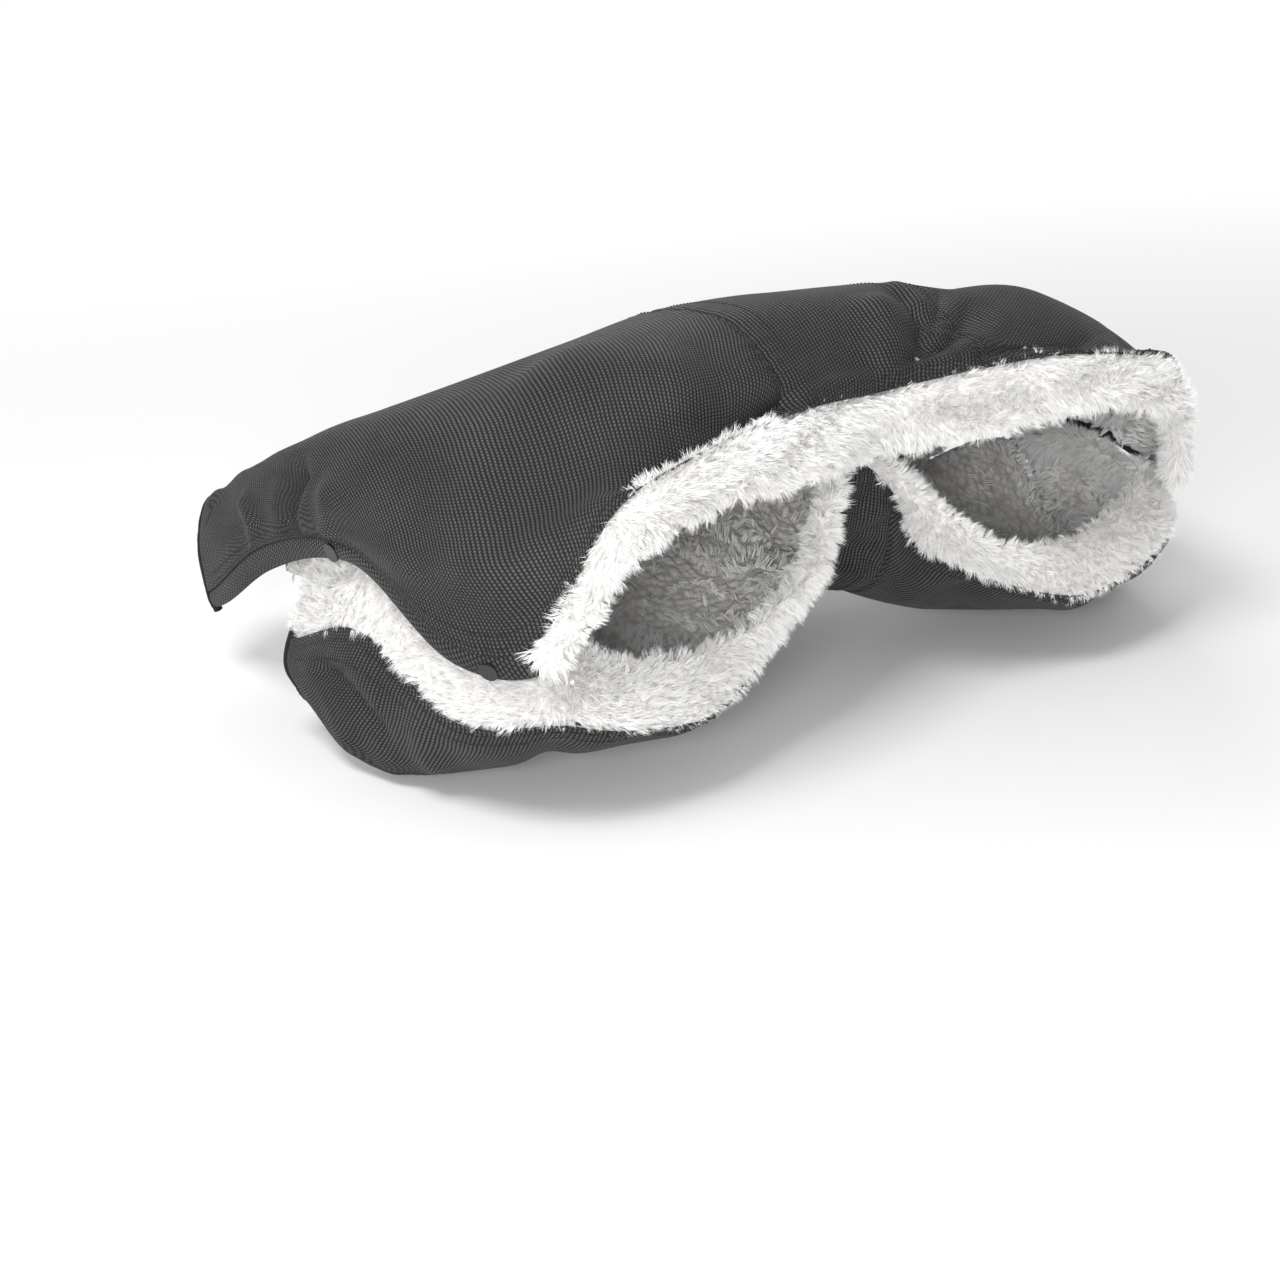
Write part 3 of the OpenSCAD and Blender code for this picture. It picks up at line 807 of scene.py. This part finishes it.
def grow_pile(name, points, normals, density, length, body, seed, per=10, spread=1.6, width=0.27,
              lean=0.45, tuck=0.5, drop=0.2):
    """Strands on a grid of points: density is tufts a square centimetre, lengths are in mm."""
    rng = np.random.default_rng(seed)
    share, count, a, b = patches(points, density)
    chosen = rng.choice(share.size, count, p=share.ravel())
    ci, cj = np.divmod(chosen, share.shape[1])
    x = ci + rng.random(count)
    y = cj + rng.random(count)
    step_i = np.linalg.norm(a[ci, cj], axis=-1) + 1e-6
    step_j = np.linalg.norm(b[ci, cj], axis=-1) + 1e-6
    root = sample(points, x, y)
    up = unit(sample(normals, x, y))
    sway = np.stack([np.sin(root @ k + k[0]) for k in rng.normal(0, 90, (3, 3))], -1)
    way = unit(up + lean * sway + 0.28 * rng.normal(0, 1, root.shape) - drop * Z)
    long_ = length * MM * (0.68 + 0.62 * rng.random(count) ** 2 + 0.16 * np.sin(root @ (210.0, 160.0, 190.0)))
    tip = root + way * long_[:, None]
    k = np.repeat(np.arange(count), per)
    r = spread * MM * np.sqrt(rng.random(len(k)))
    turn = rng.random(len(k)) * 2 * math.pi
    sx = np.clip(x[k] + r * np.cos(turn) / step_i[k], 0, points.shape[0] - 1.001)
    sy = np.clip(y[k] + r * np.sin(turn) / step_j[k], 0, points.shape[1] - 1.001)
    foot = sample(points, sx, sy)
    lift = unit(sample(normals, sx, sy))
    own_way = unit(way[k] + 0.3 * rng.normal(0, 1, foot.shape))
    own = foot + own_way * (long_[k] * (0.7 + 0.35 * rng.random(len(k))))[:, None]
    end = own * (1 - tuck) + (tip[k] + 0.15 * (foot - root[k])) * tuck
    middle = (foot + end) / 2 + lift * (0.13 * long_[k])[:, None]
    side_way = unit(np.cross(end - foot, rng.normal(0, 1, foot.shape))) * (width / 2 * MM)
    foot = foot - lift * 0.3 * MM
    verts = np.stack([foot - side_way, foot + side_way, middle + side_way * 0.85,
                      middle - side_way * 0.85, end], 1)
    tone = rng.integers(0, len(PILE), count)[k]
    return pile_pieces(name, verts, tone, body)


BAND_PILE = 7.6
INSIDE_PILE = 7.0


def make_band(panel, reach, thick, seed, tufts):
    s = even(panel, False, -reach, reach, 2.5 * MM)
    core = rolled_rings(panel, s, thick, grow=0.96, wave=0.1)
    piece = tube("plush_roll_" + panel.name, core, flip=panel.side > 0, body=panel.body,
                 slot="plush", materials=[BACKING])
    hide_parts("lip_band_" + panel.name)
    normals = ring_normals(core)
    turn = np.arange(core.shape[1]) * 2 * math.pi / core.shape[1]
    out = panel.normal(s, 0.5)[:, None]
    over = np.clip(np.cos(turn), 0, 1)[None, :, None] ** 2
    normals = unit(normals * (1 - 0.35 * over) + 1.1 * over * out)
    closed = np.concatenate([core, core[:, :1]], 1)
    normals = np.concatenate([normals, normals[:, :1]], 1)
    density = np.full(closed.shape[:2], tufts, float)
    grow_pile("pile_band_" + panel.name, closed, normals, density, BAND_PILE, panel.body, seed)


def make_lining_pile(panel, foot, ss, vv, seed, tufts):
    normals = -panel.normal(ss, vv)
    density = tufts * (0.55 + 0.45 * (1 - smooth((vv - 2.2) / 1.2)))
    grow_pile("pile_inside_" + panel.name, foot, normals, density, INSIDE_PILE, panel.body, seed,
              per=9, spread=2.0, width=0.5, lean=0.75, tuck=0.75, drop=0.15)


def edging(name, path, wide, thick, across, node, body, sides=14):
    """Folded tape along a path: across points over the edge."""
    along = unit(np.gradient(path, axis=0))
    u = unit(across - (across * along).sum(-1, keepdims=True) * along)
    w = np.cross(along, u)
    a = np.arange(sides) * 2 * math.pi / sides
    pull = 1 + 0.05 * ripple(np.arange(len(path)) * 3.0, 11.0, 2)[:, None, None]
    rings = path[:, None] + pull * (u[:, None] * (np.cos(a) * wide / 2 * MM)[None, :, None]
                                    + w[:, None] * (np.sin(a) * thick / 2 * MM)[None, :, None])
    piece = tube(name, rings, body=body, slot="binding_tape", materials=[TAPE])
    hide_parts(node)
    return piece


def make_bindings(panel, first_row, kind):
    for word, end in (("left", -END), ("right", END)):
        v = np.linspace(first_row, panel.last, 70)
        s = np.full(70, float(end))
        p = panel.base(s, v)
        out = unit(p - panel.base(s - 0.1 * np.sign(end), v))
        path = p - panel.normal(s, v) * 2 * MM + out * 2.8 * MM
        edging(f"tape_{kind}_{word}", path, 5.4, 5.0, out, f"{kind}_{word}", panel.body)


def make_hems():
    for word, sign in (("left", -1), ("right", 1)):
        s = even(upper, False, HEM_STATION + 0.02, END, 2.5 * MM) * sign
        s = np.sort(s)
        rings = rolled_rings(upper, s, 6, sides=24, hem_row=1.1)
        piece = tube("tape_hem_" + word, rings, flip=True, body=upper.body,
                     slot="outer_fabric", materials=[WEAVE])
        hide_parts("lip_hem_" + word)


def make_piping():
    x = np.linspace(-FOLD_LINE[0], FOLD_LINE[0], 160)
    path = np.stack([x, np.full(160, FOLD_LINE[1]), np.full(160, FOLD_LINE[2])], -1)
    path = (path + [0, -MIDDLE_Y, FLOOR_DROP]) * MM
    edging("tape_piping", path, 3.0, 3.0, np.tile([0.0, 1.0, 0.0], (160, 1)), "front_piping",
           upper.body, 12)


STRIP_REACH = 178.0


def fold_strip(name, radius, tall, thick, inward, material, slot):
    """Cloth that joins the two panels round the piping."""
    x = np.linspace(-STRIP_REACH, STRIP_REACH, 150)
    a = np.linspace(-0.62, 0.62, 19) * math.pi
    _, y0, z0 = FOLD_LINE
    grids = []
    for r in (radius + thick, radius):
        p = np.zeros((150, 19, 3))
        p[..., 0] = x[:, None]
        p[..., 1] = y0 + 0.3 - inward + r * np.cos(a) * 1.1 + 0.35 * ripple(x, 13.0, 6)[:, None]
        p[..., 2] = z0 + tall * np.sin(a)
        grids.append((p + [0, -MIDDLE_Y, FLOOR_DROP]) * MM)
    piece = slab(name, grids[0], grids[1], lengths(grids[0]), 1, slot=slot, materials=[material])
    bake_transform(piece)


def make_fold_strips():
    fold_strip("cloth_fold_strip", 2.4, 5.5, 0.5, 0, TAPE, "outer_fabric")
    fold_strip("plush_fold_strip", 2.0, 9.0, 1.2, 9.5, BACKING, "plush")


# ---- stitches ----


def stitch_run(name, panel, s, v, pitch, body, lift=0.25):
    """A row of short threads along the line (s, v)."""
    p = panel.skin(s, v)
    length = np.concatenate([[0], np.cumsum(np.linalg.norm(np.diff(p, axis=0), axis=-1))])
    count = int(length[-1] / (pitch * MM))
    at = (np.arange(count) + 0.5) * length[-1] / count
    sc = np.interp(at, length, s)
    vc = np.interp(at, length, v)
    p = panel.skin(sc, vc)
    n = panel.normal(sc, vc)
    along = unit(np.gradient(p, axis=0))
    across = np.cross(n, along)
    sides = 6
    steps = np.array([-0.5, -0.36, 0.0, 0.36, 0.5])
    swell = np.array([0.35, 0.9, 1.0, 0.9, 0.35])
    rise = np.array([-0.35, 0.1, lift, 0.1, -0.35]) * MM
    a = np.arange(sides) * 2 * math.pi / sides
    ring = (across[:, None, None] * np.cos(a)[:, None] + n[:, None, None] * np.sin(a)[:, None])
    ring = ring * (swell * 0.32 * MM)[None, :, None, None]
    centre = p[:, None] + along[:, None] * (steps * pitch * 0.78 * MM)[None, :, None] \
        + n[:, None] * rise[None, :, None]
    verts = (centre[:, :, None] + ring).reshape(-1, 3)
    one = grid_quads(5, sides, closed=True)
    quads = (np.arange(count)[:, None, None] * 5 * sides + one).reshape(-1, 4)
    return make_mesh(name, verts, quads, body=body, slot="binding_tape", materials=[THREAD])


def make_stitches(panel):
    for word, sign in (("left", -1), ("right", 1)):
        v = np.linspace(1.1, panel.last - 0.1, 200)
        for k, off in enumerate((0.235, -0.06)):
            s = np.full(200, sign * (SEAM - off))
            stitch_run(f"stitch_{panel.name}_{word}_{k + 1}", panel, s, v, 3.1, panel.body)
    for k, v0 in enumerate((1.13, 1.3)):
        s = np.linspace(-END + 0.1, END - 0.1, 1200)
        v = row_at(panel, s, np.full(1200, v0))
        stitch_run(f"stitch_hem_{panel.name}_{k + 1}", panel, s, v, 3.1, panel.body)


for panel in (upper, lower):
    make_shells(panel)
    make_waddings(panel)
    foot, ss, vv = make_lining(panel)
    make_lining_pile(panel, foot, ss, vv, 21 if panel is upper else 22, 7.5)
    make_stitches(panel)
make_band(upper, HEM_STATION, 11, 11, 30)
make_band(lower, END, 9, 12, 28)
make_hems()
make_bindings(upper, 0.0, "end_binding")
make_bindings(lower, 0.6, "side_binding")
make_piping()
make_fold_strips()

BRASS = metal_material("stud_black", (0.03, 0.03, 0.032), (0.012, 0.012, 0.012), 900.0)
STEEL = metal_material("spring_steel", (0.6, 0.6, 0.62), (0.35, 0.35, 0.37), 1500.0)
CAPS = metal_material("cap_enamel", (0.86, 0.85, 0.83), (0.72, 0.71, 0.69), 900.0, True)
PALE = metal_material("stud_pale", (0.85, 0.84, 0.82), (0.7, 0.69, 0.67), 900.0)
METALS = {"socket_caps": CAPS, "stud_sockets": BRASS, "studs": PALE, "stud_posts": PALE,
          "socket_springs": STEEL}
for name, metal in METALS.items():
    node = NODES[name]
    for slot in node.material_slots:
        slot.material = metal
    if not node.material_slots:
        node.data.materials.append(metal)

# ---- floor, light and camera ----


def make_floor():
    mesh = bpy.data.meshes.new("floor")
    r = 6.0
    mesh.from_pydata([(-r, -r, 0), (r, -r, 0), (r, r, 0), (-r, r, 0)], [], [(0, 1, 2, 3)])
    floor = bpy.data.objects.new("floor", mesh)
    floor.location.z = -0.0008
    bpy.context.scene.collection.objects.link(floor)
    n = Nodes("floor_paper")
    n.set("Base Color", (0.86, 0.86, 0.86, 1))
    n.set("Roughness", 0.9)
    # Painted light: the floor glows more the farther it lies from the middle, so it fades into the white
    # backdrop.
    far = n.add("ShaderNodeVectorMath", {0: n.place()}, operation="LENGTH").outputs["Value"]
    n.set("Emission Color", (1, 1, 1, 1))
    n.set("Emission Strength", n.ramp(far, 0.5, 2.2, 0.0, 0.55))
    mesh.materials.append(n.material)


def add_area(name, place, aim, size, power):
    light = bpy.data.lights.new(name, "AREA")
    light.shape = "SQUARE"
    light.size = size
    light.energy = power
    obj = bpy.data.objects.new(name, light)
    obj.location = place
    bpy.context.scene.collection.objects.link(obj)
    way = np.array(aim, float) - np.array(place, float)
    obj.rotation_euler = look_rotation(way)


def look_rotation(way):
    return Vector(way).to_track_quat("-Z", "Y").to_euler()


AIM_OFFSET = (-0.1123, -0.0623, -0.0618)
VIEW_ANGLES = (-35, 25)
VIEW_DISTANCE = 1.05
LENS = 56.1


def make_camera():
    low, high = (np.array(x) for x in CAD_BOX)
    middle = (low + high) / 2
    aim = middle + np.array(AIM_OFFSET)
    azimuth, height = (math.radians(a) for a in VIEW_ANGLES)
    back = np.array([math.sin(azimuth) * math.cos(height), -math.cos(azimuth) * math.cos(height),
                     math.sin(height)])
    camera = bpy.data.cameras.new("photo_view")
    camera.lens = LENS
    camera.sensor_width = 36
    obj = bpy.data.objects.new("photo_view", camera)
    obj.location = aim + back * VIEW_DISTANCE
    obj.rotation_euler = look_rotation(-back)
    bpy.context.scene.collection.objects.link(obj)
    bpy.context.scene.camera = obj


AMBIENT = 0.5


def make_light():
    world = bpy.data.worlds.new("studio")
    world.use_nodes = True
    world.node_tree.nodes["Background"].inputs["Color"].default_value = (1, 1, 1, 1)
    tree = world.node_tree
    path = tree.nodes.new("ShaderNodeLightPath")
    seen = tree.nodes.new("ShaderNodeMapRange")
    seen.inputs["To Min"].default_value = AMBIENT
    tree.links.new(path.outputs["Is Camera Ray"], seen.inputs["Value"])
    tree.links.new(seen.outputs["Result"], tree.nodes["Background"].inputs["Strength"])
    bpy.context.scene.world = world
    add_area("key", (-0.9, -0.3, 1.6), (0, 0, 0.1), 0.6, 17)
    add_area("back", (0.6, 1.3, 1.3), (0, 0, 0.1), 1.0, 9)
    add_area("front", (-0.95, -0.95, 0.5), (0, 0.0, 0.08), 0.4, 11)


make_floor()
make_light()
make_camera()
bpy.context.scene.view_settings.view_transform = "Standard"
